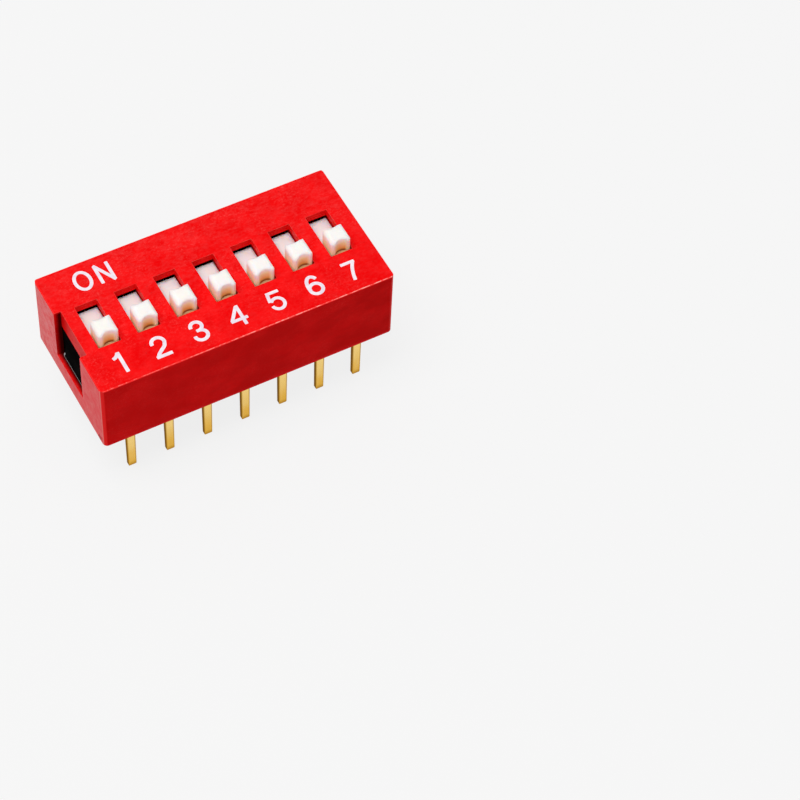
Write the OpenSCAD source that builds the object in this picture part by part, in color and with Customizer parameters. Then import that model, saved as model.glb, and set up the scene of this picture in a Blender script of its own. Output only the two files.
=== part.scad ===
// Slide-type DIP switch for through-hole boards: a red shell snaps over a black base that
// carries two rows of terminals, and each slider takes its own leaf contact between them.
//
// +X runs along the row of sliders from position 1 to the last, +Y points to the ON side and
// +Z points away from the board. The origin lies on the board, in the middle of the pin grid.
// Every slider is drawn at OFF, the end of its travel on the -Y side. Millimetres.

/* [Layout] */
// Number of switch positions
positions = 7; // [4:1:12]
// Distance from one position to the next
pitch = 2.54; // [2.4:0.01:2.8]
// Distance between the two rows of pins
row_spacing = 7.62; // [7.4:0.01:8.4]
// Plastic at each end, past the end positions' share of the pitch
end_margin = 0.73; // [0.66:0.01:1.4]
// Plastic at each side, from the middle of a pin row
side_margin = 0.89; // [0.86:0.01:1.6]

/* [Cover] */
// Height of the red shell from its rim to its top
cover_h = 5.3; // [5.2:0.05:7]
// Thickness of the shell's side and end walls
wall_t = 0.45; // [0.35:0.01:0.5]
// Thickness of the shell's top
top_t = 0.5; // [0.35:0.01:0.8]
// Radius of the shell's upright edges
corner_r = 0.3; // [0.1:0.05:0.4]
// Radius of the edges round the shell's top
edge_r = 0.1; // [0.05:0.01:0.18]
// Width of each slider window
window_w = 1.44; // [1.2:0.02:1.6]
// Height of the ribs under the top that hold the sliders down
hold_rib_h = 0.7; // [0.5:0.05:0.8]

/* [End notch and snap fit] */
// Width of the notch in the end wall beside position 1
notch_w = 3.6; // [2.4:0.1:5]
// Height of the wall left below the notch
notch_sill_h = 1.36; // [1.1:0.02:2]
// Height of the bar that closes the notch at the shell's top
latch_bar_h = 1.41; // [1.3:0.01:1.8]
// Thickness of that bar
latch_bar_t = 0.4; // [0.3:0.02:0.5]
// Width of the base's snap nub at each end
nub_w = 3; // [1.5:0.1:3.2]
// Height of a snap nub
nub_h = 0.75; // [0.5:0.05:1]
// How far a snap nub stands out of the base
nub_d = 0.22; // [0.12:0.01:0.26]
// Height of a snap nub's flat outer face, under its slope
nub_face_h = 0.24; // [0.1:0.02:0.4]
// Radius of a snap nub's corners
nub_r = 0.1; // [0.04:0.01:0.12]
// Width of the lead-in that each end wall's rim has for its nub
lead_in_w = 5.2; // [3.4:0.1:6]
// Depth of that lead-in into the wall
lead_in_d = 0.26; // [0.1:0.01:0.3]
// Height of the step at the foot of the lead-in's slope
rim_relief = 0.1; // [0.05:0.01:0.18]

/* [Slider] */
// Travel from OFF to ON
travel = 1.94; // [1.6:0.02:2.06]
// Length of the knob along its travel
knob_l = 1.36; // [1.1:0.02:1.4]
// Height of the knob above the shell's top
knob_h = 1.02; // [0.5:0.02:1.6]
// Radius of the edges round the knob's top
knob_r = 0.3; // [0.05:0.01:0.34]
// Radius of the knob's upright edges
knob_side_r = 0.2; // [0.05:0.01:0.24]
// Width of the finger groove in each of the knob's two faces
groove_w = 0.88; // [0.5:0.02:0.9]
// Depth of a finger groove at its middle
groove_d = 0.18; // [0.1:0.01:0.26]
// Depth of the ledge at a groove's foot below the shell's top
groove_foot = 0.1; // [0:0.02:0.3]
// Height of the slider's underside above the terminals
block_lift = 0.2; // [0.1:0.05:0.3]

/* [Leaf contact] */
// Width of the leaf
leaf_w = 0.9; // [0.6:0.02:1.1]
// Thickness of the leaf
leaf_t = 0.1; // [0.06:0.01:0.14]
// Distance between the middles of its two pairs of feet
feet_span = 2; // [1.7:0.02:2.1]
// Outer radius of a foot
foot_r = 0.26; // [0.18:0.01:0.3]
// Length of the flat crown between the two arms
crown_l = 0.9; // [0.8:0.02:1]
// Height of the crown's top above the terminals
leaf_h = 0.72; // [0.6:0.02:0.8]
// Width of the slit that parts the two fingers of each arm
slit_w = 0.16; // [0.08:0.02:0.24]
// Radius of the peg that holds the leaf
peg_r = 0.18; // [0.12:0.01:0.22]

/* [Terminals] */
// Thickness of the strip
strip_t = 0.25; // [0.2:0.01:0.3]
// Width of the strip inside the switch
strip_w = 1.08; // [0.9:0.02:1.3]
// Width of a pin at its shoulder
pin_w = 0.58; // [0.4:0.02:0.7]
// Length of a pin below the board's surface
pin_l = 3.95; // [2.8:0.05:5]
// Width of a pin at its tip
tip_w = 0.52; // [0.36:0.02:0.7]
// Radius of a tip's corners
tip_r = 0.16; // [0.05:0.01:0.18]
// Bevel on both broad faces at the tip
tip_bevel = 0.06; // [0.02:0.01:0.08]
// Radius outside the strip's bend
bend_r = 0.35; // [0.31:0.01:0.5]
// How far a terminal on the OFF side reaches past the middle
off_reach = 0.3; // [0.2:0.02:0.4]
// Gap between the two terminals of a position
terminal_gap = 0.5; // [0.4:0.02:0.7]

/* [Base and seal] */
// Height of the shell's rim above the board
rim_lift = 0.1; // [0.02:0.01:0.3]
// Depth from the rim to the surface of the resin seal
seal_recess = 0.35; // [0.2:0.01:0.5]
// Thickness of the resin seal
seal_t = 0.55; // [0.35:0.05:0.7]
// Radius of the resin's corners
seal_r = 0.45; // [0.2:0.05:0.8]
// Thickness of the base under the terminals' top faces
floor_t = 1.55; // [1.4:0.05:1.7]
// Thickness of the wall between two cells
cell_wall_t = 0.34; // [0.24:0.02:0.4]
// Width across the two standoff ribs
ribs_span = 3.84; // [3.2:0.02:4.6]
// Width of a standoff rib
rib_w = 0.46; // [0.3:0.02:0.6]
// Distance from the body's end at position 1 to the ribs
ribs_from_first = 2.86; // [2:0.02:3.4]
// Distance from the body's other end to the ribs
ribs_from_last = 3.7; // [2.4:0.02:4]
// Depth of the pocket between the ribs, from the resin's surface
pocket_d = 1; // [0.4:0.05:1.2]
// Wall left at the pocket's end at position 1
pocket_wall = 0.18; // [0.1:0.02:0.5]
// Distance from the pocket's rounded end to the ribs' ends
pocket_short = 0.35; // [0.1:0.05:1]
// Width of the ledge round the pocket's panel
panel_ledge = 0.26; // [0.1:0.02:0.4]
// Depth of that panel
panel_d = 0.08; // [0.02:0.01:0.12]
// Radius of the gate mark on the panel
gate_r = 0.62; // [0.3:0.02:0.7]

/* [Clearances] */
// Gap between the base and the shell, all round
fit_gap = 0.05; // [0.02:0.01:0.08]
// Running gap of a slider in its cell and under the ribs
run_gap = 0.05; // [0.03:0.01:0.08]
// Gap between the knob and the window at each end of the travel
stop_gap = 0.05; // [0.02:0.01:0.08]
// Gap between the knob and each long side of its window
knob_gap = 0.07; // [0.03:0.01:0.12]
// Gap between the shell's top and the slider's land
land_gap = 0.3; // [0.1:0.02:0.4]
// Gap between a foot of the leaf and the terminal it runs on
foot_gap = 0.02; // [0.01:0.01:0.04]

/* [Hidden] */
function names(stem, n) = [for (i = [1 : n]) str(stem, i)];
$fn = 48;

red = [0.86, 0.06, 0.07];
black = [0.1, 0.1, 0.11];
resin_black = [0.05, 0.05, 0.055];
ivory = [0.96, 0.93, 0.86];
gold = [0.9, 0.72, 0.36];

// Overshoot of a cut past the face that it opens.
cut = 0.5;

// Outside of the body.
body_l = positions * pitch + 2 * end_margin;
body_w = row_spacing + 2 * side_margin;
rim_z = rim_lift;
top_z = rim_z + cover_h;
ceiling_z = top_z - top_t;

// Inside of the shell, and the base that fits in it.
cavity_l = body_l - 2 * wall_t;
cavity_w = body_w - 2 * wall_t;
base_l = cavity_l - 2 * fit_gap;
base_w = cavity_w - 2 * fit_gap;
seal_z = rim_z + seal_recess;
base_z = seal_z + seal_t;
floor_z = base_z + floor_t;

// The slider hangs from the ribs under the top, and its windows follow from its travel.
window_l = travel + knob_l + 2 * stop_gap;
hold_rib_z = ceiling_z - hold_rib_h;
block_top_z = hold_rib_z - run_gap;
block_z = floor_z + block_lift;
land_z = ceiling_z - land_gap;
knob_w = window_w - 2 * knob_gap;
knob_top_z = top_z + knob_h;
// Radius of the arc that is groove_w across and groove_d deep.
groove_r = (groove_w * groove_w / 4 + groove_d * groove_d) / (2 * groove_d);
// The land still reaches under the window's edge when the knob is at the other end.
land_overlap = 0.05;
slider_l = travel + window_l + 2 * land_overlap;
off_y = -travel / 2;

// Cells of the base, open at the top.
cell_w = pitch - cell_wall_t;
cell_l = slider_l + travel + 2 * run_gap;
block_w = cell_w - 2 * run_gap;
block_r = 0.2;
latch_bar_z = top_z - latch_bar_h;
base_top_z = min(latch_bar_z, hold_rib_z) - fit_gap;

// The ribs under the shell's top stand between the lands, over the edges of the blocks.
hold_rib_gap = 0.14;
hold_rib_w = pitch - window_w - 2 * hold_rib_gap;

// Snap fit.
sill_z = rim_z + notch_sill_h;
nub_z = sill_z + fit_gap;

// Leaf contact.
leaf_top_z = floor_z + leaf_h;
foot_y = feet_span / 2;
foot_z = floor_z + foot_gap + foot_r;
peg_gap = 0.02;
peg_head_h = 0.07;
leaf_room = 0.1;
leaf_l = feet_span + 2 * foot_r;
// Height of a foot's turned-up tip above the middle of its curve.
tip_rise = foot_r / 3;

// Underside.
ribs_x0 = -body_l / 2 + ribs_from_first;
ribs_x1 = body_l / 2 - ribs_from_last;
pocket_w = ribs_span - 2 * rib_w;
pocket_x0 = ribs_x0 + pocket_wall;
pocket_x1 = ribs_x1 - pocket_short;
pocket_z = seal_z + pocket_d;

// Middle of position i along the row, counted from 1.
function position_x(i) = (i - (positions + 1) / 2) * pitch;

// ---- Shapes used by several pieces ----

// Rectangle with round corners, centred.
module round_rect(l, w, r) {
    square([l - 2 * r, w], center = true);
    square([l, w - 2 * r], center = true);
    for (x = [-1, 1], y = [-1, 1])
        translate([x * (l / 2 - r), y * (w / 2 - r)])
            circle(r);
}

// Outline with its two upper corners round, from z0 to z1 and centred on 0.
module crowned_rect(w, z0, z1, r) {
    translate([-w / 2, z0])
        square([w, z1 - z0 - r]);
    translate([-w / 2 + r, z0])
        square([w - 2 * r, z1 - z0]);
    for (x = [-1, 1])
        translate([x * (w / 2 - r), z1 - r])
            circle(r);
}

// A box centred on X and Y, from z0 to z1.
module slab(l, w, z0, z1) {
    translate([-l / 2, -w / 2, z0])
        cube([l, w, z1 - z0]);
}

// A 2D outline drawn as X and Z, carried along Y over a centred width.
module along_y(w) {
    rotate([90, 0, 0])
        linear_extrude(w, center = true)
            children();
}

// A 2D outline drawn as Y and Z, carried along X over a centred length.
module along_x(l) {
    rotate([90, 0, 90])
        linear_extrude(l, center = true)
            children();
}

// A block with round upright edges and round edges at its top.
module crowned_block(l, w, z0, z1, upright_r, top_r) {
    intersection() {
        translate([0, 0, z0])
            linear_extrude(z1 - z0)
                round_rect(l, w, upright_r);
        along_y(w + 2 * cut)
            crowned_rect(l, z0 - cut, z1, top_r);
        along_x(l + 2 * cut)
            crowned_rect(w, z0 - cut, z1, top_r);
    }
}

// ---- Cover ----

module window_cuts() {
    for (i = [1 : positions])
        translate([position_x(i), 0, 0])
            slab(window_w, window_l, ceiling_z - cut, top_z + cut);
}

// The notch goes through the end wall, down to its sill.
module notch_cut() {
    translate([-body_l / 2 - cut, -notch_w / 2, sill_z])
        cube([wall_t + cut, notch_w, cover_h]);
}

// Blind pocket inside the plain end wall, for that end's snap nub.
module blind_pocket() {
    pocket_gap = 2 * fit_gap;
    translate([cavity_l / 2 - cut, -nub_w / 2 - pocket_gap, sill_z])
        cube([cut + nub_d - fit_gap + pocket_gap / 2, nub_w + 2 * pocket_gap, nub_h + pocket_gap]);
}

// Step and slope along the inside of one end wall's rim, drawn at the +X end.
module lead_in_cut() {
    x = cavity_l / 2;
    along_y(lead_in_w)
        polygon([
            [x - cut, rim_z - cut],
            [x + lead_in_d, rim_z - cut],
            [x + lead_in_d, rim_z + rim_relief],
            [x, seal_z],
            [x - cut, seal_z]
        ]);
}

// Ribs under the top: one between each two positions, and a wider one at each end.
module hold_ribs() {
    for (i = [1 : positions - 1])
        translate([(position_x(i) + position_x(i + 1)) / 2, 0, 0])
            slab(hold_rib_w, cavity_w, hold_rib_z, ceiling_z);
    end_rib_x = position_x(positions) + window_w / 2 + hold_rib_gap;
    end_rib_w = cavity_l / 2 - end_rib_x;
    for (side = [-1, 1])
        translate([side * (end_rib_x + end_rib_w / 2), 0, 0])
            slab(end_rib_w, cavity_w, hold_rib_z, ceiling_z);
}

module latch_bar() {
    translate([-cavity_l / 2, -notch_w / 2 - wall_t, latch_bar_z])
        cube([latch_bar_t, notch_w + 2 * wall_t, ceiling_z - latch_bar_z]);
}

module cover() {
    color(red)
        union() {
            difference() {
                crowned_block(body_l, body_w, rim_z, top_z, corner_r, edge_r);
                slab(cavity_l, cavity_w, rim_z - cut, ceiling_z);
                window_cuts();
                notch_cut();
                blind_pocket();
                lead_in_cut();
                mirror([1, 0, 0])
                    lead_in_cut();
            }
            hold_ribs();
            latch_bar();
        }
}

// ---- Base ----

// The pocket's outline: square at position 1, round at its other end.
module pocket_outline(inset) {
    w = pocket_w - 2 * inset;
    x0 = pocket_x0 + inset;
    x1 = pocket_x1 - inset;
    r = w / 3;
    translate([x0, -w / 2])
        square([x1 - r - x0, w]);
    translate([x0, -w / 2 + r])
        square([x1 - x0, w - 2 * r]);
    for (y = [-1, 1])
        translate([x1 - r, y * (w / 2 - r)])
            circle(r);
}

module underside_pocket() {
    translate([0, 0, -cut])
        linear_extrude(pocket_z + cut)
            pocket_outline(0);
    translate([0, 0, -cut])
        linear_extrude(pocket_z + panel_d + cut)
            pocket_outline(panel_ledge);
}

module gate_mark() {
    translate([pocket_x1 - pocket_w / 2, 0, pocket_z + panel_d / 2])
        cylinder(r = gate_r, h = panel_d);
}

// Dam that keeps the resin out of the pocket, and the two ribs that stand on the board.
module standoff_ribs() {
    ribs_l = ribs_x1 - ribs_x0;
    translate([(ribs_x0 + ribs_x1) / 2, 0, 0]) {
        slab(ribs_l, ribs_span, seal_z, base_z);
        for (side = [-1, 1])
            translate([0, side * (ribs_span - rib_w) / 2, 0])
                slab(ribs_l, rib_w, 0, seal_z);
    }
}

// Snap nub of one end, drawn at the +X end: flat below, sloped above to ride over the rim,
// and with round corners.
module snap_nub() {
    x = base_l / 2;
    intersection() {
        along_y(nub_w)
            polygon([
                [x - cut, nub_z],
                [x + nub_d, nub_z],
                [x + nub_d, nub_z + nub_face_h],
                [x, nub_z + nub_h],
                [x - cut, nub_z + nub_h]
            ]);
        translate([x, 0, nub_z - cut])
            linear_extrude(nub_h + 2 * cut)
                round_rect(2 * nub_d, nub_w, nub_r);
    }
}

module base() {
    color(black)
        union() {
            difference() {
                union() {
                    slab(base_l, base_w, base_z, base_top_z);
                    standoff_ribs();
                    snap_nub();
                    mirror([1, 0, 0])
                        snap_nub();
                }
                for (i = [1 : positions])
                    translate([position_x(i), 0, 0])
                        slab(cell_w, cell_l, floor_z, base_top_z + cut);
                underside_pocket();
                for (i = [1 : 2 * positions])
                    terminal_form(i);
            }
            gate_mark();
        }
}

// ---- Potting resin ----

module potting_resin() {
    color(resin_black)
        difference() {
            translate([0, 0, seal_z])
                linear_extrude(seal_t)
                    round_rect(cavity_l, cavity_w, seal_r);
            translate([(ribs_x0 + ribs_x1) / 2, 0, 0])
                slab(ribs_x1 - ribs_x0, ribs_span, seal_z - cut, base_z + cut);
            for (i = [1 : positions], side = [-1, 1])
                translate([position_x(i), side * row_spacing / 2, 0])
                    slab(strip_w, strip_t, seal_z - cut, base_z + cut);
        }
}

// ---- Sliders ----

// Finger groove of the +Y face: an upright hollow arc that stands on its ledge.
module groove_cut() {
    ledge_z = top_z - groove_foot;
    translate([0, knob_l / 2 + groove_r - groove_d, ledge_z])
        cylinder(r = groove_r, h = knob_top_z + cut - ledge_z);
}

module knob() {
    difference() {
        crowned_block(knob_w, knob_l, land_z, knob_top_z, knob_side_r, knob_r);
        groove_cut();
        mirror([0, 1, 0])
            groove_cut();
    }
}

// Pocket under the block, in which the leaf sits.
module leaf_pocket() {
    slab(leaf_w + 2 * leaf_room, leaf_l + 2 * leaf_room, block_z - cut, leaf_top_z);
}

module leaf_peg() {
    shaft_z = leaf_top_z - leaf_t;
    translate([0, 0, shaft_z])
        cylinder(r = peg_r, h = leaf_t + leaf_room);
    translate([0, 0, shaft_z - peg_head_h])
        cylinder(r = peg_r + 4 * peg_gap, h = peg_head_h);
}

module slider(i) {
    color(ivory)
        translate([position_x(i), off_y, 0]) {
            difference() {
                union() {
                    translate([0, 0, block_z])
                        linear_extrude(block_top_z - block_z)
                            round_rect(block_w, slider_l, block_r);
                    slab(window_w, slider_l, block_top_z - cut / 2, land_z);
                    knob();
                }
                leaf_pocket();
            }
            leaf_peg();
        }
}

// ---- Leaf contacts ----

// Side view of one arm, as Y and Z: a straight run from the crown to a round foot.
module arm_outline() {
    mid_r = foot_r - leaf_t / 2;
    start = [crown_l / 2, leaf_top_z - leaf_t / 2];
    run = [foot_y - start[0], foot_z - start[1]];
    reach = norm(run);
    slope = atan2(run[1], run[0]) - asin(mid_r / reach);
    arm_l = sqrt(reach * reach - mid_r * mid_r);
    translate(start)
        rotate(slope) {
            translate([0, -leaf_t / 2])
                square([arm_l, leaf_t]);
            circle(leaf_t / 2);
        }
    // The foot's ring runs from the arm round the bottom to a turned-up tip.
    translate([foot_y, foot_z])
        difference() {
            circle(foot_r);
            circle(foot_r - leaf_t);
            rotate(slope)
                translate([-foot_r - cut, -foot_r - cut])
                    square([foot_r + cut, 2 * (foot_r + cut)]);
            translate([-foot_r - cut, tip_rise])
                square([2 * (foot_r + cut), foot_r + cut]);
        }
}

module leaf_outline() {
    translate([-crown_l / 2, leaf_top_z - leaf_t])
        square([crown_l, leaf_t]);
    arm_outline();
    mirror([1, 0])
        arm_outline();
}

module moving_contact(i) {
    color(gold)
        translate([position_x(i), off_y, 0])
            difference() {
                along_x(leaf_w)
                    leaf_outline();
                for (side = [-1, 1])
                    translate([0, side * (crown_l / 2 + leaf_l / 2), 0])
                        slab(slit_w, leaf_l, floor_z, leaf_top_z + cut);
                translate([0, 0, leaf_top_z - leaf_t - cut / 2])
                    cylinder(r = peg_r + peg_gap, h = leaf_t + cut);
            }
}

// ---- Terminals ----

// Side view of a terminal on the OFF side, as Y and Z: a pad that bends down into the pin.
module strip_side_view(pad_end) {
    outer_y = -row_spacing / 2 - strip_t / 2;
    bend = [outer_y + bend_r, floor_z - bend_r];
    polygon([
        [outer_y, bend[1]],
        [outer_y, tip_bevel - pin_l],
        [outer_y + tip_bevel, -pin_l],
        [outer_y + strip_t - tip_bevel, -pin_l],
        [outer_y + strip_t, tip_bevel - pin_l],
        [outer_y + strip_t, bend[1]]
    ]);
    translate([bend[0], floor_z - strip_t])
        square([pad_end - bend[0], strip_t]);
    translate(bend)
        intersection() {
            difference() {
                circle(bend_r);
                circle(bend_r - strip_t);
            }
            translate([-bend_r, 0])
                square(bend_r);
        }
}

// Front view of every terminal, as X and Z: wide strip, shoulder, and a pin that narrows
// to a tip with round corners.
module strip_front_view() {
    shoulder_z = (rim_z + seal_z) / 2 - rim_z;
    tip_z = tip_r - pin_l;
    translate([-strip_w / 2, shoulder_z])
        square([strip_w, floor_z + cut - shoulder_z]);
    polygon([
        [-pin_w / 2, shoulder_z],
        [-tip_w / 2, tip_z],
        [tip_w / 2, tip_z],
        [pin_w / 2, shoulder_z]
    ]);
    translate([tip_r - tip_w / 2, -pin_l])
        square([tip_w - 2 * tip_r, tip_r]);
    for (side = [-1, 1])
        translate([side * (tip_w / 2 - tip_r), tip_z])
            circle(tip_r);
}

module strip(pad_end) {
    intersection() {
        along_x(2 * strip_w)
            strip_side_view(pad_end);
        along_y(body_w)
            strip_front_view();
    }
}

// Terminals are numbered round the body: along the OFF side from position 1, then back
// along the ON side from the last position.
module terminal_form(i) {
    if (i <= positions)
        translate([position_x(i), 0, 0])
            strip(off_reach);
    else
        translate([position_x(2 * positions + 1 - i), 0, 0])
            mirror([0, 1, 0])
                strip(-off_reach - terminal_gap);
}

module terminal(i) {
    color(gold)
        terminal_form(i);
}

cover();
base();
potting_resin();
for (i = [1 : positions])
    slider(i);
for (i = [1 : positions])
    moving_contact(i);
for (i = [1 : 2 * positions])
    terminal(i);
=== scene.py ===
"""Looks of the slide-type DIP switch: finishes, printed legend, floor, lights and camera."""

import bpy
import numpy as np
from mathutils import Matrix, Vector

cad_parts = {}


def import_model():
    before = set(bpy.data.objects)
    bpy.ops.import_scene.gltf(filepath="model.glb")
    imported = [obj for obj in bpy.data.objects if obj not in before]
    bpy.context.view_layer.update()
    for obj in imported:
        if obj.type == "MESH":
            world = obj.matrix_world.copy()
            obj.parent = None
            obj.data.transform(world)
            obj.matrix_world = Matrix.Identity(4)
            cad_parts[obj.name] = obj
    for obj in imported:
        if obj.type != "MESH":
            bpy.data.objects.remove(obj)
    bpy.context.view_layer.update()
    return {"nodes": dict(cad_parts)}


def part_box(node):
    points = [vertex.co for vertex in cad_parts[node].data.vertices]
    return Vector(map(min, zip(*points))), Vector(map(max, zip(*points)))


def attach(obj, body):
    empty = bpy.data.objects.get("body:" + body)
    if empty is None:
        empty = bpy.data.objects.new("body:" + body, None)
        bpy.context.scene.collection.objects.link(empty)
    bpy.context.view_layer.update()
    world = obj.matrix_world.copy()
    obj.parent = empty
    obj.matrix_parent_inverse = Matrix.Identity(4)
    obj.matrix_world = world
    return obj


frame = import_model()

MM = 0.001
PER_MM = 1.0 / MM
PITCH = 2.54
TOP_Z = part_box("cover")[1].z
FLOOR_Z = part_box("terminal_1")[0].z
TOP_MM = TOP_Z * PER_MM
KNOB_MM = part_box("slider_1")[1].z * PER_MM
TIP_MM = FLOOR_Z * PER_MM


# ---- Building shader nodes ----


# Where a Mix node keeps its amount and its two colours, and gives the colour that results.
MIX_AMOUNT, MIX_A, MIX_B, MIX_COLOUR = 0, 6, 7, 2


class Nodes:
    """Adds shader nodes to one tree. A value given as a socket is linked, a number is set."""

    def __init__(self, tree):
        self.tree = tree

    def put(self, socket, value):
        if isinstance(value, bpy.types.NodeSocket):
            self.tree.links.new(value, socket)
        elif value is not None:
            socket.default_value = value

    def add(self, kind, inputs=None, **settings):
        node = self.tree.nodes.new(kind)
        for name, value in settings.items():
            setattr(node, name, value)
        for name, value in (inputs or {}).items():
            self.put(node.inputs[name], value)
        return node

    def math(self, operation, a, b=None, c=None):
        node = self.add("ShaderNodeMath", operation=operation)
        for socket, value in zip(node.inputs, (a, b, c)):
            self.put(socket, value)
        return node.outputs[0]

    def times(self, first, *others):
        """Product of two or more masks or numbers."""
        for other in others:
            first = self.math("MULTIPLY", first, other)
        return first

    def absolute(self, value):
        """A number without its sign."""
        return self.math("ABSOLUTE", value)

    def most(self, a, b):
        """The larger of two masks."""
        return self.math("MAXIMUM", a, b)

    def vector(self, operation, a, b=None):
        node = self.add("ShaderNodeVectorMath", operation=operation)
        for socket, value in zip(node.inputs, (a, b)):
            self.put(socket, value)
        return node.outputs["Vector"]

    def ramp(self, value, low, high, to_low=0.0, to_high=1.0):
        """Smooth step of value from low to high."""
        given = {
            "Value": value,
            "From Min": low,
            "From Max": high,
            "To Min": to_low,
            "To Max": to_high,
        }
        node = self.add("ShaderNodeMapRange", given, interpolation_type="SMOOTHSTEP")
        return node.outputs["Result"]

    def between(self, value, low, high):
        """Mask of values from low to high, soft over a tenth of the way at either end."""
        soft = (high - low) / 10
        rise = self.ramp(value, low, low + soft)
        return self.times(rise, self.ramp(value, high, high - soft))

    def mix(self, amount, a, b):
        """Colour a turned into colour b by amount."""
        node = self.add("ShaderNodeMix", data_type="RGBA")
        for at, value in ((MIX_AMOUNT, amount), (MIX_A, a), (MIX_B, b)):
            self.put(node.inputs[at], value)
        return node.outputs[MIX_COLOUR]

    def noise(self, place, scale, detail=2.0, roughness=0.5, stretch=None):
        """Noise with scale features for each millimetre, from 0 to 1."""
        if stretch:
            place = self.vector("MULTIPLY", place, stretch)
        node = self.add(
            "ShaderNodeTexNoise",
            {"Vector": place, "Scale": scale, "Detail": detail, "Roughness": roughness},
        )
        return node.outputs["Fac"]

    def split(self, vector):
        """The X, Y and Z of a vector."""
        return self.add("ShaderNodeSeparateXYZ", {"Vector": vector}).outputs[:3]

    def place_mm(self):
        """The point on the piece, in millimetres of the shared frame."""
        coords = self.add("ShaderNodeTexCoord").outputs["Object"]
        return self.vector("MULTIPLY", coords, (PER_MM,) * 3)

    def facing(self):
        """The X, Y and Z of the way the piece's surface faces."""
        return self.split(self.add("ShaderNodeTexCoord").outputs["Normal"])

    def column(self, x):
        """How far X lies from the middle of the nearest switch, in millimetres."""
        return self.absolute(self.math("WRAP", x, PITCH / 2, -PITCH / 2))


def group(name, inputs, outputs):
    """An empty node group with those inputs, as name to socket type and default, and outputs."""
    tree = bpy.data.node_groups.new(name, "ShaderNodeTree")
    for socket, (kind, default) in inputs.items():
        made = tree.interface.new_socket(socket, in_out="INPUT", socket_type=kind)
        made.default_value = default
    for socket, kind in outputs.items():
        tree.interface.new_socket(socket, in_out="OUTPUT", socket_type=kind)
    nodes = Nodes(tree)
    return nodes, nodes.add("NodeGroupInput").outputs, nodes.add("NodeGroupOutput").inputs


FLOAT, COLOUR, VECTOR = "NodeSocketFloat", "NodeSocketColor", "NodeSocketVector"
BEVEL_SAMPLES = 8


def rgb(r, g, b):
    return (r, g, b, 1.0)


BLACK = rgb(0, 0, 0)
WHITE = rgb(1, 1, 1)


def moulding_group():
    """Moulded plastic: cloudy mottle, clustered pale flecks, sparse dark specks, skin height."""
    n, given, out = group(
        "moulded_plastic",
        {
            "Place": (VECTOR, (0, 0, 0)),
            "Base": (COLOUR, (0.5, 0.5, 0.5, 1)),
            "Deep": (COLOUR, (0.4, 0.4, 0.4, 1)),
            "Fleck": (COLOUR, (0.8, 0.8, 0.8, 1)),
            "Fleck Amount": (FLOAT, 0.3),
            "Speck Amount": (FLOAT, 0.5),
            "Roughness": (FLOAT, 0.35),
        },
        {"Color": COLOUR, "Roughness": FLOAT, "Height": FLOAT},
    )
    place = given["Place"]
    clouds = n.noise(place, 0.8, 6.0, 0.65)
    colour = n.mix(n.ramp(clouds, 0.36, 0.64), given["Base"], given["Deep"])
    flecks = n.ramp(n.noise(place, 7.0, 5.0, 0.8), 0.48, 0.80)
    clusters = n.ramp(n.noise(place, 0.5, 3.0), 0.38, 0.62, 0.25, 1.0)
    flecks = n.times(flecks, clusters, given["Fleck Amount"])
    colour = n.mix(flecks, colour, given["Fleck"])
    specks = n.times(n.ramp(n.noise(place, 3.6, 1.0), 0.25, 0.2), given["Speck Amount"])
    colour = n.mix(specks, colour, n.mix(0.75, given["Deep"], BLACK))
    n.put(out["Color"], colour)
    skin = n.noise(place, 2.2, 4.0, 0.6)
    rough = n.math("MULTIPLY_ADD", n.math("SUBTRACT", skin, 0.5), 0.22, given["Roughness"])
    n.put(out["Roughness"], rough)
    grain = n.noise(place, 14.0, 2.0)
    n.put(out["Height"], n.math("MULTIPLY_ADD", skin, 0.6, n.times(grain, 0.4)))
    return n.tree


def edge_highlight_group():
    """Painted edge highlights: where the rounded normal turns from the true one, broken up along
    the edge.
    """
    n, given, out = group(
        "edge_highlight",
        {
            "Place": (VECTOR, (0, 0, 0)),
            "Radius": (FLOAT, 0.00005),
            "Turn": (FLOAT, 0.8),
            "Amount": (FLOAT, 1.0),
        },
        {"Edge": FLOAT},
    )
    true = n.add("ShaderNodeNewGeometry").outputs["Normal"]
    bevel = n.add("ShaderNodeBevel", {"Radius": given["Radius"]}, samples=BEVEL_SAMPLES)
    same = n.add("ShaderNodeVectorMath", operation="DOT_PRODUCT")
    n.put(same.inputs[0], true)
    n.put(same.inputs[1], bevel.outputs["Normal"])
    start = n.math("MULTIPLY_ADD", given["Turn"], 0.15, 0.85)
    turned = n.ramp(same.outputs["Value"], start, given["Turn"])
    broken = n.ramp(n.noise(given["Place"], 1.6, 4.0, 0.7), 0.36, 0.6, 0.25, 1.0)
    n.put(out["Edge"], n.times(turned, broken, given["Amount"]))
    return n.tree


MOULDED = moulding_group()
EDGE_HIGHLIGHT = edge_highlight_group()


def material(name):
    """A new material's node builder and its Principled shader."""
    made = bpy.data.materials.new(name)
    made.use_nodes = True
    nodes = Nodes(made.node_tree)
    return made, nodes, made.node_tree.nodes["Principled BSDF"].inputs


def bump(n, height, depth, round_r=0.0):
    """Normal of a skin of that height over depth, its edges turned over round_r, in metres."""
    node = n.add("ShaderNodeBump", {"Height": height, "Distance": depth, "Strength": 1.0})
    if round_r:
        bevel = n.add("ShaderNodeBevel", {"Radius": round_r}, samples=BEVEL_SAMPLES)
        n.put(node.inputs["Normal"], bevel.outputs["Normal"])
    return node.outputs["Normal"]


def edge_highlight_mask(n, place, radius, turn, amount):
    """Mask of the piece's edges for painted highlights: radius in metres, turn the cosine at which
    the mask is full.
    """
    node = n.add("ShaderNodeGroup", node_tree=EDGE_HIGHLIGHT)
    given = {"Place": place, "Radius": radius, "Turn": turn, "Amount": amount}
    for socket, value in given.items():
        n.put(node.inputs[socket], value)
    return node.outputs["Edge"]


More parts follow.
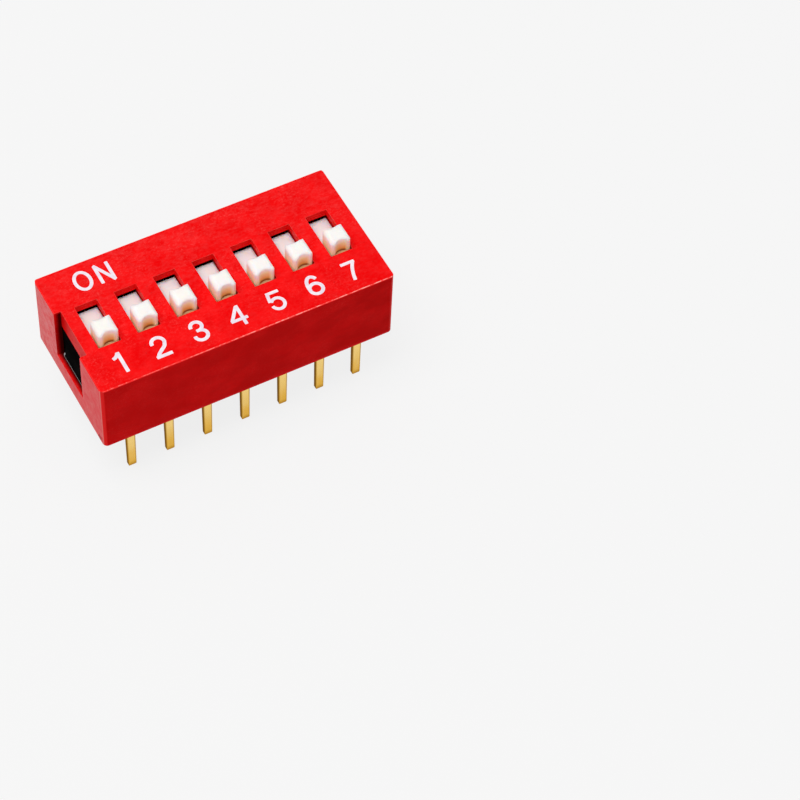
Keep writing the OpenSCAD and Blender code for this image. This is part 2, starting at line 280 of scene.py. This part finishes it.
def moulded(name, base, notch_shade, fleck, amounts, roughness, skin_depth, round_r=0.0):
    """A moulded plastic's material, nodes, shader, place and skin colour.

    The amounts are those of flecks and of specks. The depth and the radius are in metres.
    """
    made, n, shader = material(name)
    place = n.place_mm()
    skin = n.add("ShaderNodeGroup", node_tree=MOULDED)
    given = {
        "Place": place,
        "Base": base,
        "Deep": notch_shade,
        "Fleck": fleck,
        "Fleck Amount": amounts[0],
        "Speck Amount": amounts[1],
        "Roughness": roughness,
    }
    for socket, value in given.items():
        n.put(skin.inputs[socket], value)
    n.put(shader["Roughness"], skin.outputs["Roughness"])
    n.put(shader["Normal"], bump(n, skin.outputs["Height"], skin_depth, round_r))
    return made, n, shader, place, skin.outputs["Color"]


# Where the cover's faces lie, in millimetres, each as a pair that a mask rises over.
END_X = (9.4, 9.55)
SIDE_Y = (4.5, 4.65)
RIM_Z = (TOP_MM - 0.3, TOP_MM - 0.15)
LENGTH_X = (-9.0, 9.0)
WIDTH_Y = (-4.5, 4.5)
NOTCH_Y = (2.0, 1.9)
NOTCH_X = (-9.62, -9.3)
SILL_Z = (1.6, 1.4)
FOOT_Z = (0.30, 0.18)
NICK_Z = (0.05, 0.56)
NICK_Y = (-4.10, -3.66)
NICK_LEAN = 0.5

# Cover colours. All but the pits' red are painted light or shade: painted light on the ends and the
# foot, painted highlights on the corners and the rim, a painted sheen on the ends, and painted
# shade on the flanks, the nick and in the notch.
LIT_RED = rgb(1.0, 0.02, 0.03)
HIGHLIGHT_RED = rgb(1.0, 0.02, 0.02)
FLANK_SHADE_RED = rgb(0.62, 0.0, 0.0)
PIT_RED = rgb(0.60, 0.02, 0.03)
NICK_SHADE_RED = rgb(0.58, 0.0, 0.0)
NOTCH_SHADE = rgb(0.02, 0.0, 0.0)
SHEEN_PINK = rgb(1.0, 0.38, 0.38)
TURN_HIGHLIGHT_PINK = rgb(1.0, 0.40, 0.36)
RIM_GLINT_PINK = rgb(1.0, 0.55, 0.48)
EDGE_HIGHLIGHT_PINK = rgb(1.0, 0.30, 0.25)


def dust_and_sheen_top(n, colour, place, y, face_z):
    """Fine pale dust on the top, with a painted sheen in its rise toward the ON side."""
    dust = n.noise(place, 3.4, 8.0, 0.8, stretch=(0.7, 1.3, 1.0))
    dust = n.times(n.ramp(dust, 0.40, 0.68, 0.0, 2.0), n.ramp(y, *WIDTH_Y, 0.005, 0.0110))
    return n.mix(n.times(dust, n.ramp(face_z, 0.97, 0.99)), colour, WHITE)


def shaded_flanks(n, colour, place, x, at_side, face_y):
    """Painted shade: a darker, cloudy red on the long sides, deeper toward position 7."""
    cloud = n.noise(place, 0.7, 5.0, 0.6, stretch=(0.6, 1.0, 1.0))
    cloud = n.times(n.ramp(cloud, 0.35, 0.65, 0.3, 0.75), at_side, n.ramp(face_y, 0.9, 0.98))
    return n.mix(n.times(cloud, n.ramp(x, *LENGTH_X, 0.75, 1.25)), colour, FLANK_SHADE_RED)


def sheeny_lit_ends(n, colour, place, y, z, out_y, at_end, face_x):
    """Painted light and a painted pale sheen on the ends, less of the sheen on the sill under the
    latch window, and darker pits.
    """
    ends = n.times(n.ramp(face_x, 0.75, 0.97), at_end)
    colour = n.mix(n.times(ends, 0.8), colour, LIT_RED)
    sheen = n.ramp(n.noise(place, 2.0, 9.0, 0.85), 0.34, 0.68, 0.08, 0.64)
    sheen = n.times(sheen, n.ramp(y, *WIDTH_Y, 0.6, 1.15))
    sill = n.times(n.ramp(out_y, 2.1, 1.9), n.ramp(z, *SILL_Z))
    sheen = n.times(sheen, n.ramp(sill, 0.0, 1.0, 1.0, 0.7))
    colour = n.mix(n.times(ends, sheen), colour, SHEEN_PINK)
    pits = n.ramp(n.noise(place, 3.0, 3.0, 0.6), 0.34, 0.26, 0.0, 0.5)
    return n.mix(n.times(ends, pits), colour, PIT_RED)


def corner_highlights(n, colour, at_end, face_x, face_y):
    """Painted highlights: bright red round the upright corners, with a pale line where the ends
    start to turn.
    """
    corners = n.times(n.between(face_x, 0.2, 0.97), n.between(face_y, 0.2, 0.97))
    colour = n.mix(corners, colour, HIGHLIGHT_RED)
    turn = n.times(n.between(face_x, 0.88, 0.985), at_end)
    return n.mix(n.times(turn, 0.5), colour, TURN_HIGHLIGHT_PINK)


def lower_edge(n, colour, place, x, y, z, at_side):
    """A painted highlight in brighter red along the foot of the long sides, and a nick by position
    1's corner painted as its dark shade, not cut.
    """
    broken = n.ramp(n.noise(place, 2.5, 3.0, 0.6), 0.35, 0.5, 0.1, 0.6)
    colour = n.mix(n.times(n.ramp(z, *FOOT_Z), at_side, broken), colour, LIT_RED)
    nick = n.times(n.between(z, *NICK_Z), n.ramp(x, -END_X[0], -END_X[1]))
    nick = n.times(nick, n.between(n.math("MULTIPLY_ADD", z, NICK_LEAN, y), *NICK_Y))
    return n.mix(n.times(nick, 0.9), colour, NICK_SHADE_RED)


def rim_highlights(n, colour, place, x, z, face_y, face_z):
    """Painted highlights on the top's rounded rim: brighter red, palest along the long sides and by
    position 7.
    """
    high = n.ramp(z, *RIM_Z)
    colour = n.mix(n.times(n.between(face_z, 0.1, 0.99), high), colour, HIGHLIGHT_RED)
    rim_glint = n.ramp(n.noise(place, 3.5, 4.0, 0.8), 0.42, 0.62, 0.05, 0.8)
    rim_glint = n.times(rim_glint, n.ramp(face_y, 0.2, 0.4, 0.15, 1.0), n.ramp(x, -6.0, 3.0, 0.4, 1.0))
    rim = n.times(n.ramp(face_z, 0.6, 0.7), n.ramp(face_z, 0.97, 0.9), high)
    colour = n.mix(n.times(rim, rim_glint), colour, RIM_GLINT_PINK)
    edge = n.times(edge_highlight_mask(n, place, 0.05 * MM, 0.8, 0.4), high)
    return n.mix(edge, colour, EDGE_HIGHLIGHT_PINK)


def shaded_notch(n, colour, x, z, out_y, face_x):
    """Painted shade on the notch's walls, darker inward to the latch window."""
    notch_shade = n.times(n.ramp(x, *NOTCH_X, 0.0, 0.93), n.ramp(x, -9.10, -9.15))
    notch_shade = n.times(notch_shade, n.ramp(out_y, *NOTCH_Y))
    notch_shade = n.times(notch_shade, n.ramp(z, TOP_MM - 0.02, TOP_MM - 0.2), n.ramp(face_x, 0.8, 0.5))
    return n.mix(notch_shade, colour, NOTCH_SHADE)


def cover_plastic():
    """Red plastic: dust, painted light, sheen and highlights, and painted shade on flanks and
    notch.
    """
    made, n, shader, place, colour = moulded(
        "cover_plastic",
        rgb(0.90, 0.005, 0.006),
        rgb(0.82, 0.001, 0.002),
        rgb(0.93, 0.10, 0.09),
        (0.6, 0.25),
        0.36,
        0.006 * MM,
    )
    x, y, z = n.split(place)
    face_x, face_y, face_z = (n.absolute(face) for face in n.facing())
    out_y = n.absolute(y)
    at_end = n.ramp(n.absolute(x), *END_X)
    at_side = n.ramp(out_y, *SIDE_Y)
    colour = dust_and_sheen_top(n, colour, place, y, face_z)
    colour = shaded_flanks(n, colour, place, x, at_side, face_y)
    colour = sheeny_lit_ends(n, colour, place, y, z, out_y, at_end, face_x)
    colour = corner_highlights(n, colour, at_end, face_x, face_y)
    colour = lower_edge(n, colour, place, x, y, z, at_side)
    colour = rim_highlights(n, colour, place, x, z, face_y, face_z)
    colour = shaded_notch(n, colour, x, z, out_y, face_x)
    n.put(shader["Base Color"], colour)
    n.put(shader["IOR"], 1.09)
    n.put(shader["Specular Tint"], rgb(1.0, 0.12, 0.10))
    return made


# The snap nub in the latch window: its outer X, and the painted highlight line along it with a hook
# at one end.
NUB_X = (-9.2, -9.3)
NUB_LINE_Z = (1.62, 1.71)
NUB_HOOK_Z = (1.62, 1.92)
NUB_HOOK_Y = (1.35, 1.47)
GLINT_GREY = rgb(0.5, 0.49, 0.49)


def base_plastic():
    """Black plastic: dull in the depths, with a sheen on what faces down and painted highlights on
    its edges and nub.
    """
    made, n, shader, place, colour = moulded(
        "base_plastic",
        rgb(0.006, 0.006, 0.006),
        rgb(0.003, 0.003, 0.003),
        rgb(0.03, 0.03, 0.03),
        (0.35, 0.2),
        0.5,
        0.008 * MM,
    )
    x, y, z = n.split(place)
    face_z = n.facing()[2]
    edge = n.times(edge_highlight_mask(n, place, 0.06 * MM, 0.985, 0.9), n.ramp(x, -9.1, -9.0))
    hook = n.times(n.between(z, *NUB_HOOK_Z), n.between(y, *NUB_HOOK_Y))
    nub_glint = n.times(n.most(hook, n.between(z, *NUB_LINE_Z)), 0.85, n.ramp(x, *NUB_X))
    n.put(shader["Base Color"], n.mix(n.most(edge, nub_glint), colour, GLINT_GREY))
    n.put(shader["Specular IOR Level"], 0.0)
    n.put(shader["Coat Weight"], n.ramp(face_z, -0.3, -0.8))
    n.put(shader["Coat Roughness"], 0.35)
    n.put(shader["Coat IOR"], 1.45)
    return made


def potting_resin():
    """Black cast resin with pale dust."""
    made, n, shader, place, colour = moulded(
        "potting_resin",
        rgb(0.008, 0.008, 0.009),
        rgb(0.005, 0.005, 0.006),
        rgb(0.10, 0.10, 0.105),
        (0.5, 0.0),
        0.22,
        0.02 * MM,
    )
    dust = n.ramp(n.noise(place, 6.0, 3.0, 0.7), 0.6, 0.7, 0.0, 0.25)
    n.put(shader["Base Color"], n.mix(dust, colour, rgb(0.22, 0.22, 0.23)))
    n.put(shader["IOR"], 1.5)
    return made


# The slider's heights, in millimetres: its land below the top, the ledge under a groove, the
# foot of the groove and its head.
LAND_Z = (5.0, 4.8)
KNOB_FOOT_Z = (5.0, 5.2)
UNDER_LEDGE_Z = (5.26, 5.30)
LEDGE_Z = (5.5, 5.4)
GROOVE_FOOT_Z = (5.55, 5.38)
GROOVE_HEAD_Z = (6.22, 5.92)
GROOVE_X = (0.46, 0.24)

# Painted light and shade on the ivory: the land painted less pink against the red light off the
# window walls, painted shade warmer down the knob's sides and in its grooves, a painted shadow line
# at each groove's foot and painted shade on the ledge.
LAND_LIT_IVORY = rgb(0.96, 1.0, 0.89)
SIDE_SHADE_HEAD, SIDE_SHADE_FOOT = rgb(1.0, 1.0, 0.92), rgb(1.0, 0.95, 0.54)
GROOVE_SHADE_HEAD, GROOVE_SHADE_FOOT = rgb(1.0, 0.97, 0.66), rgb(1.0, 0.54, 0.13)
GROOVE_SHADOW_BROWN = rgb(0.42, 0.12, 0.02)
LEDGE_SHADE_TAN = rgb(0.85, 0.52, 0.24)


def slider_plastic():
    """Ivory plastic that light sinks into; warm painted shade down the knob's sides and grooves."""
    made, n, shader, place, colour = moulded(
        "slider_plastic",
        rgb(1.0, 0.94, 0.89),
        rgb(0.98, 0.91, 0.85),
        rgb(1.0, 0.96, 0.94),
        (0.3, 0.0),
        0.38,
        0.004 * MM,
        0.10 * MM,
    )
    x, _, z = n.split(place)
    _, face_y, face_z = n.facing()
    down = n.ramp(z, KNOB_MM - 0.2, TOP_MM)
    at_ledge = n.ramp(z, *LEDGE_Z)
    side = n.times(n.most(n.ramp(face_z, 0.8, 0.3), at_ledge), n.ramp(z, *KNOB_FOOT_Z))
    warm = n.mix(down, SIDE_SHADE_HEAD, SIDE_SHADE_FOOT)
    tan = n.mix(down, GROOVE_SHADE_HEAD, GROOVE_SHADE_FOOT)
    groove = n.times(n.ramp(n.column(x), *GROOVE_X), n.ramp(n.absolute(face_y), 0.3, 0.6))
    groove = n.times(groove, n.ramp(z, *GROOVE_HEAD_Z), n.ramp(z, *UNDER_LEDGE_Z))
    # Painted shadow line at the groove's foot, then painted shade on the ledge.
    tan = n.mix(n.ramp(z, *GROOVE_FOOT_Z), tan, GROOVE_SHADOW_BROWN)
    warm = n.mix(groove, warm, tan)
    warm = n.mix(n.times(n.ramp(face_z, 0.7, 0.95), at_ledge), warm, LEDGE_SHADE_TAN)
    # The land painted less pink, against the red light off the window walls.
    colour = n.mix(n.ramp(z, *LAND_Z), colour, LAND_LIT_IVORY)
    n.put(shader["Base Color"], n.mix(side, colour, warm))
    n.put(shader["IOR"], 1.45)
    n.put(shader["Subsurface Weight"], 1.0)
    n.put(shader["Subsurface Scale"], 0.6 * MM)
    n.put(shader["Subsurface Radius"], (1.0, 0.8, 0.65))
    return made


# Painted reflection and shade on the gold: paler near the body and deeper toward the tip, darker
# along the strip's edges and near the tip, on the sheared sides and on faces turned down.
PIN_EDGE_X = (0.17, 0.29)
PIN_TIP_Z = (TIP_MM + 0.5, TIP_MM)
PALE_GOLD, DEEP_GOLD = rgb(1.0, 0.73, 0.27), rgb(0.90, 0.53, 0.10)
LINE_GOLD = rgb(1.0, 0.80, 0.44)
EDGE_SHADE_GOLD = rgb(0.45, 0.22, 0.03)
SIDE_SHADE_GOLD = rgb(0.34, 0.19, 0.045)


def plated_gold(name, shine):
    """Gold plate, drawn lines down the strip; painted reflection deeper down the pin, painted shade
    at edges.
    """
    made, n, shader = material(name)
    place = n.place_mm()
    x, _, z = n.split(place)
    face_x, _, face_z = n.facing()
    lines = n.noise(place, 7.0, 3.0, 0.6, stretch=(1.0, 1.0, 0.08))
    cloud = n.noise(place, 0.9, 3.0)
    # Painted reflection: paler near the body, deeper toward the tip.
    down = n.ramp(n.math("MULTIPLY_ADD", cloud, 1.6, z), -0.2, -2.8)
    colour = n.mix(down, PALE_GOLD, DEEP_GOLD)
    colour = n.mix(n.ramp(lines, 0.5, 0.8, 0.0, 0.3), colour, LINE_GOLD)
    # Painted shade along the strip's edges and near the tip, then on the sheared sides and faces
    # turned down.
    edge_shade = n.most(n.ramp(n.column(x), *PIN_EDGE_X), n.ramp(z, *PIN_TIP_Z, 0.0, 0.8))
    colour = n.mix(edge_shade, colour, EDGE_SHADE_GOLD)
    side_shade = n.most(n.ramp(n.absolute(face_x), 0.6, 0.9), n.ramp(face_z, -0.2, -0.6))
    colour = n.mix(side_shade, colour, SIDE_SHADE_GOLD)
    n.put(shader["Base Color"], colour)
    n.put(shader["Metallic"], 1.0)
    n.put(shader["Specular Tint"], rgb(0.60, 0.38, 0.12))
    rough = n.math("MULTIPLY_ADD", lines, 0.12, shine)
    n.put(shader["Roughness"], n.math("MULTIPLY_ADD", side_shade, 0.3, rough))
    n.put(shader["Normal"], bump(n, lines, 0.002 * MM))
    return made


def legend_ink():
    """White print, a little uneven and faintly violet."""
    made, n, shader = material("legend_ink")
    place = n.place_mm()
    patches = n.noise(place, 3.0, 4.0, 0.65)
    colour = n.mix(n.ramp(patches, 0.35, 0.65), rgb(0.90, 0.84, 0.90), rgb(0.80, 0.70, 0.80))
    n.put(shader["Base Color"], colour)
    n.put(shader["Roughness"], 0.5)
    n.put(shader["Normal"], bump(n, patches, 0.003 * MM))
    return made


MATERIALS = {
    "cover": cover_plastic(),
    "base": base_plastic(),
    "potting_resin": potting_resin(),
    "slider": slider_plastic(),
    "moving_contact": plated_gold("contact_gold", 0.14),
    "terminal": plated_gold("terminal_gold", 0.18),
}
for name, obj in frame["nodes"].items():
    kind = name.rstrip("0123456789").rstrip("_")
    obj.data.materials.clear()
    obj.data.materials.append(MATERIALS[kind])


# ---- Printed legend ----

# Thickness of the ink, how far it reaches into the top, and how much lower each stroke of a
# sign lies than the one before, so that no two share a face, all in millimetres.
INK_H = 0.012
INK_SUNK = 0.002
STROKE_STEP = 0.0015
# Radius of a stroke's end corners, and the points that one is drawn with.
END_R = 0.04
END_STEPS = 6
# A mitre's cosine counts as no less than this, which keeps a sharp turn from running out.
LEAST_COSINE = 0.4
LETTER_W = 0.21
DIGIT_W = 0.225
THIN_W = 0.21
LETTER_Y = 3.30
DIGIT_Y = -3.19


def line(*points):
    """Straight runs through points, as an array of X and Y."""
    return np.array(points, dtype=float)


def arc(centre, radii, start, end, steps=28):
    """Part of an ellipse: centre plus radii times cosine and sine, from start to end degrees."""
    a = np.radians(np.linspace(start, end, steps))
    return np.stack([centre[0] + radii[0] * np.cos(a), centre[1] + radii[1] * np.sin(a)], axis=1)


def curve(*points, steps=12):
    """Catmull-Rom curve: cubics whose ends lean along the chord between a point's neighbours."""
    p = np.array(points, dtype=float)
    p = np.concatenate([2 * p[:1] - p[1:2], p, 2 * p[-1:] - p[-2:-1]])
    t = np.linspace(0, 1, steps, endpoint=False)[None, :, None]
    a, b, c, d = (p[k : len(p) - 3 + k, None, :] for k in range(4))
    run = 0.5 * (
        2 * b + (c - a) * t + (2 * a - 5 * b + 4 * c - d) * t**2 + (3 * b - a - 3 * c + d) * t**3
    )
    return np.concatenate([run.reshape(-1, 2), p[-2:-1]])


def joined(*runs):
    """Runs laid end to end, without the point that two of them share."""
    keep = [runs[0]] + [r[1:] if np.allclose(r[0], q[-1]) else r for q, r in zip(runs, runs[1:])]
    return np.concatenate(keep)


def rounded_ends(path, width):
    """Path and its half widths: over END_R at each end the width follows a quarter circle."""
    turn = np.radians(np.linspace(90, 0, END_STEPS))
    back = END_R * (1 - np.sin(turn))
    narrow = width / 2 - END_R * (1 - np.cos(turn))
    half = np.full(len(path), width / 2)
    for _ in range(2):
        run = np.append(0, np.cumsum(np.linalg.norm(np.diff(path, axis=0), axis=1)))
        rest = run > 1.5 * END_R
        way = path[rest][0] - path[0]
        way = way / np.linalg.norm(way)
        path = np.concatenate([path[0] + way * back[:, None], path[rest]])
        half = np.concatenate([narrow, half[rest]])
        path, half = path[::-1], half[::-1]
    return path, half


def edges(path, half, closed):
    """Left and right edges of a stroke: the path moved by half its width along mitred normals."""
    after = np.roll(path, -1, axis=0) - path
    if not closed:
        after[-1] = after[-2]
    after /= np.linalg.norm(after, axis=1, keepdims=True)
    before = np.roll(after, 1, axis=0)
    if not closed:
        before[0] = after[0]
    way = after + before
    way /= np.linalg.norm(way, axis=1, keepdims=True)
    normal = np.stack([-way[:, 1], way[:, 0]], axis=1)
    side = normal * (half / np.maximum((way * after).sum(axis=1), LEAST_COSINE))[:, None]
    return path + side, path - side


def stroke_solid(path, width, high, closed=False):
    """Closed solid of one stroke: four rails along its path, walled between and capped."""
    path, half = (path, width / 2) if closed else rounded_ends(path, width)
    left, right = edges(path, half, closed)
    count = len(path)
    rails = [(left, -INK_SUNK), (right, -INK_SUNK), (right, high), (left, high)]
    points = np.concatenate([np.column_stack([edge, np.full(count, z)]) for edge, z in rails])
    step = np.arange(count if closed else count - 1)
    after = (step + 1) % count
    walls = [
        np.stack([r * count + step, r * count + after, s * count + after, s * count + step], axis=1)
        for r, s in ((0, 1), (1, 2), (2, 3), (3, 0))
    ]
    faces = np.concatenate(walls).tolist()
    if not closed:
        last = count - 1
        faces.append([0, count, 2 * count, 3 * count])
        faces.append([last, 3 * count + last, 2 * count + last, count + last])
    return points, faces


# Each sign's middle, stroke width and strokes, in millimetres. A ring is a closed stroke.
RING = "ring"
SIGNS = {
    "letter_O": (
        (-7.06, LETTER_Y - 0.01),
        LETTER_W,
        [(RING, arc((0.01, 0), (0.475, 0.67), 0, 360, 73)[:-1])],
    ),
    "letter_N": (
        (-5.645, LETTER_Y),
        LETTER_W,
        [
            line((-0.39, -0.73), (-0.39, 0.73)),
            line((0.39, 0.73), (0.39, -0.73)),
            line((-0.42, 0.76), (0.42, -0.76)),
        ],
    ),
    "digit_1": (
        (-7.62, DIGIT_Y),
        DIGIT_W,
        [
            line((0.10, 0.76), (0.10, -0.81)),
            curve((-0.34, 0.38), (-0.18, 0.42), (-0.03, 0.53), (0.09, 0.72)),
        ],
    ),
    "digit_2": (
        (-5.08, DIGIT_Y),
        DIGIT_W,
        [
            joined(
                arc((-0.03, 0.32), (0.385, 0.37), 190, -15),
                curve(
                    (0.342, 0.224), (0.23, -0.03), (-0.06, -0.27), (-0.32, -0.49), (-0.41, -0.68)
                ),
            ),
            line((-0.55, -0.675), (0.46, -0.675)),
        ],
    ),
    "digit_3": (
        (-2.57, DIGIT_Y),
        DIGIT_W,
        [
            joined(
                arc((-0.04, 0.39), (0.345, 0.33), 188, -90),
                line((-0.04, 0.06), (-0.17, 0.06)),
            ),
            joined(
                line((-0.17, 0.06), (-0.02, 0.06)),
                arc((-0.02, -0.305), (0.39, 0.365), 90, -188),
            ),
        ],
    ),
    "digit_4": (
        (-0.02, DIGIT_Y),
        THIN_W,
        [
            line((0.16, 0.75), (0.16, -0.78)),
            line((-0.62, -0.29), (0.47, -0.29)),
            line((0.14, 0.69), (-0.56, -0.29)),
        ],
    ),
    "digit_5": (
        (2.49, DIGIT_Y),
        THIN_W,
        [
            joined(line((0.40, 0.64), (-0.33, 0.64)), line((-0.33, 0.64), (-0.43, 0.0))),
            arc((-0.02, -0.24), (0.395, 0.42), 150, -172),
        ],
    ),
    "digit_6": (
        (5.04, DIGIT_Y),
        DIGIT_W,
        [
            (RING, arc((-0.05, -0.265), (0.40, 0.395), 0, 360, 61)[:-1]),
            arc((-0.05, -0.05), (0.40, 0.73), 200, 40, 40),
        ],
    ),
    "digit_7": (
        (7.60, DIGIT_Y),
        THIN_W,
        [
            line((-0.56, 0.62), (0.36, 0.62)),
            curve((0.30, 0.66), (0.06, 0.26), (-0.13, -0.25), (-0.24, -0.73)),
        ],
    ),
}


def sign(name):
    """One printed sign, as a piece that rides on the housing."""
    middle, width, strokes = SIGNS[name]
    points, faces, at = [], [], 0
    for level, stroke in enumerate(strokes):
        closed = isinstance(stroke, tuple)
        path = stroke[1] if closed else stroke
        p, f = stroke_solid(path, width, INK_H - level * STROKE_STEP, closed)
        points.append(p)
        faces += [[v + at for v in face] for face in f]
        at += len(p)
    place = np.concatenate(points) + (*middle, TOP_MM)
    mesh = bpy.data.meshes.new(name)
    mesh.from_pydata((place * MM).tolist(), [], faces)
    mesh.materials.append(INK)
    mesh.update()
    obj = bpy.data.objects.new(name, mesh)
    bpy.context.scene.collection.objects.link(obj)
    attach(obj, "housing")


INK = legend_ink()
for name in SIGNS:
    sign(name)


# ---- Floor, lights and camera ----

FLOOR_REACH = 0.6
PALE = 0.92
LAMP_PLACE = (-0.12, -0.03, 0.42)
LAMP_SIZE = 0.25
LAMP_POWER = 1.22
WORLD_LEVEL = 0.5
SENSOR_MM = 36.0
PICTURE_PX = 800.0
FOCAL_PX = 2885.05
# The turn from the shared frame to the camera's axes, as an axis as long as its angle, and
# where the middle of the cover's rim, which lies RIM_GAP over the board, is on those axes.
CAMERA_TURN = Vector((2.44665974, -0.60674241, 0.24820953))
RIM_PLACE = Vector((-11.1620566, -4.0944635, 175.157355)) * MM
RIM_GAP = 0.1 * MM
NEAR_CLIP = 0.01


def seen_rays(n):
    """Masks of the rays that show the backdrop itself, and of the camera's own among them."""
    path = n.add("ShaderNodeLightPath").outputs
    seen = n.most(path["Is Camera Ray"], path["Is Glossy Ray"])
    return n.most(seen, path["Is Transmission Ray"]), path["Is Camera Ray"]


def mixed(n, share, first, second):
    """One shader's output turned into another's by share."""
    node = n.add("ShaderNodeMixShader", {"Fac": share})
    for socket, shader in zip(list(node.inputs)[1:], (first, second)):
        n.put(socket, shader.outputs[0])
    return node


def floor_material():
    """Pale floor: near white to the camera and in gloss, greyer in the light it throws back."""
    made = bpy.data.materials.new("floor")
    made.use_nodes = True
    made.node_tree.nodes.clear()
    n = Nodes(made.node_tree)
    seen, direct = seen_rays(n)
    colour = n.mix(seen, rgb(0.4, 0.4, 0.4), rgb(PALE, PALE, PALE))
    diffuse = n.add("ShaderNodeBsdfDiffuse", {"Color": colour})
    glow = n.add("ShaderNodeEmission", {"Color": rgb(PALE, PALE, PALE), "Strength": 1.0})
    share = n.math("MULTIPLY_ADD", direct, 0.15, n.times(seen, 0.75))
    lit = mixed(n, share, diffuse, glow)
    back = n.add("ShaderNodeNewGeometry").outputs["Backfacing"]
    both = mixed(n, back, lit, n.add("ShaderNodeBsdfTransparent"))
    n.add("ShaderNodeOutputMaterial", {"Surface": both.outputs[0]})
    return made


def floor():
    """The square floor that the pins' tips touch."""
    r = FLOOR_REACH
    corners = [(-r, -r, FLOOR_Z), (r, -r, FLOOR_Z), (r, r, FLOOR_Z), (-r, r, FLOOR_Z)]
    mesh = bpy.data.meshes.new("floor")
    mesh.from_pydata(corners, [], [(0, 1, 2, 3)])
    mesh.materials.append(floor_material())
    obj = bpy.data.objects.new("floor", mesh)
    bpy.context.scene.collection.objects.link(obj)


def world(strength):
    """Even light all round. The camera and gloss see it pale at the horizon and grey overhead."""
    made = bpy.data.worlds.new("studio")
    bpy.context.scene.world = made
    made.use_nodes = True
    made.node_tree.nodes.clear()
    n = Nodes(made.node_tree)
    seen, _ = seen_rays(n)
    height = n.split(n.add("ShaderNodeTexCoord").outputs["Generated"])[2]
    pale = n.ramp(height, 0.1, 0.7, PALE, 0.3)
    level = n.math("MULTIPLY_ADD", seen, n.math("SUBTRACT", pale, strength), strength)
    shade = n.add("ShaderNodeBackground", {"Color": WHITE, "Strength": level})
    n.add("ShaderNodeOutputWorld", {"Surface": shade.outputs[0]})


def lamp(name, place, size, power):
    """A square area light at place, in metres, that faces the switch."""
    data = bpy.data.lights.new(name, "AREA")
    data.size = size
    data.energy = power
    obj = bpy.data.objects.new(name, data)
    obj.location = place
    obj.rotation_mode = "QUATERNION"
    obj.rotation_quaternion = Vector(place).to_track_quat("Z", "Y")
    bpy.context.scene.collection.objects.link(obj)


def camera():
    """The camera at its place, turned from axes with Y down the image and Z into it."""
    to_camera = Matrix.Rotation(CAMERA_TURN.length, 3, CAMERA_TURN.normalized())
    home = -(to_camera.transposed() @ RIM_PLACE) + Vector((0, 0, RIM_GAP))
    data = bpy.data.cameras.new("camera")
    data.sensor_width = SENSOR_MM
    data.lens = FOCAL_PX * SENSOR_MM / PICTURE_PX
    data.clip_start = NEAR_CLIP
    obj = bpy.data.objects.new("camera", data)
    axes = to_camera.transposed() @ Matrix.Diagonal((1.0, -1.0, -1.0))
    obj.matrix_world = Matrix.Translation(home) @ axes.to_4x4()
    bpy.context.scene.collection.objects.link(obj)
    bpy.context.scene.camera = obj


floor()
world(WORLD_LEVEL)
lamp("key", LAMP_PLACE, LAMP_SIZE, LAMP_POWER)
camera()
bpy.context.scene.view_settings.view_transform = "Standard"
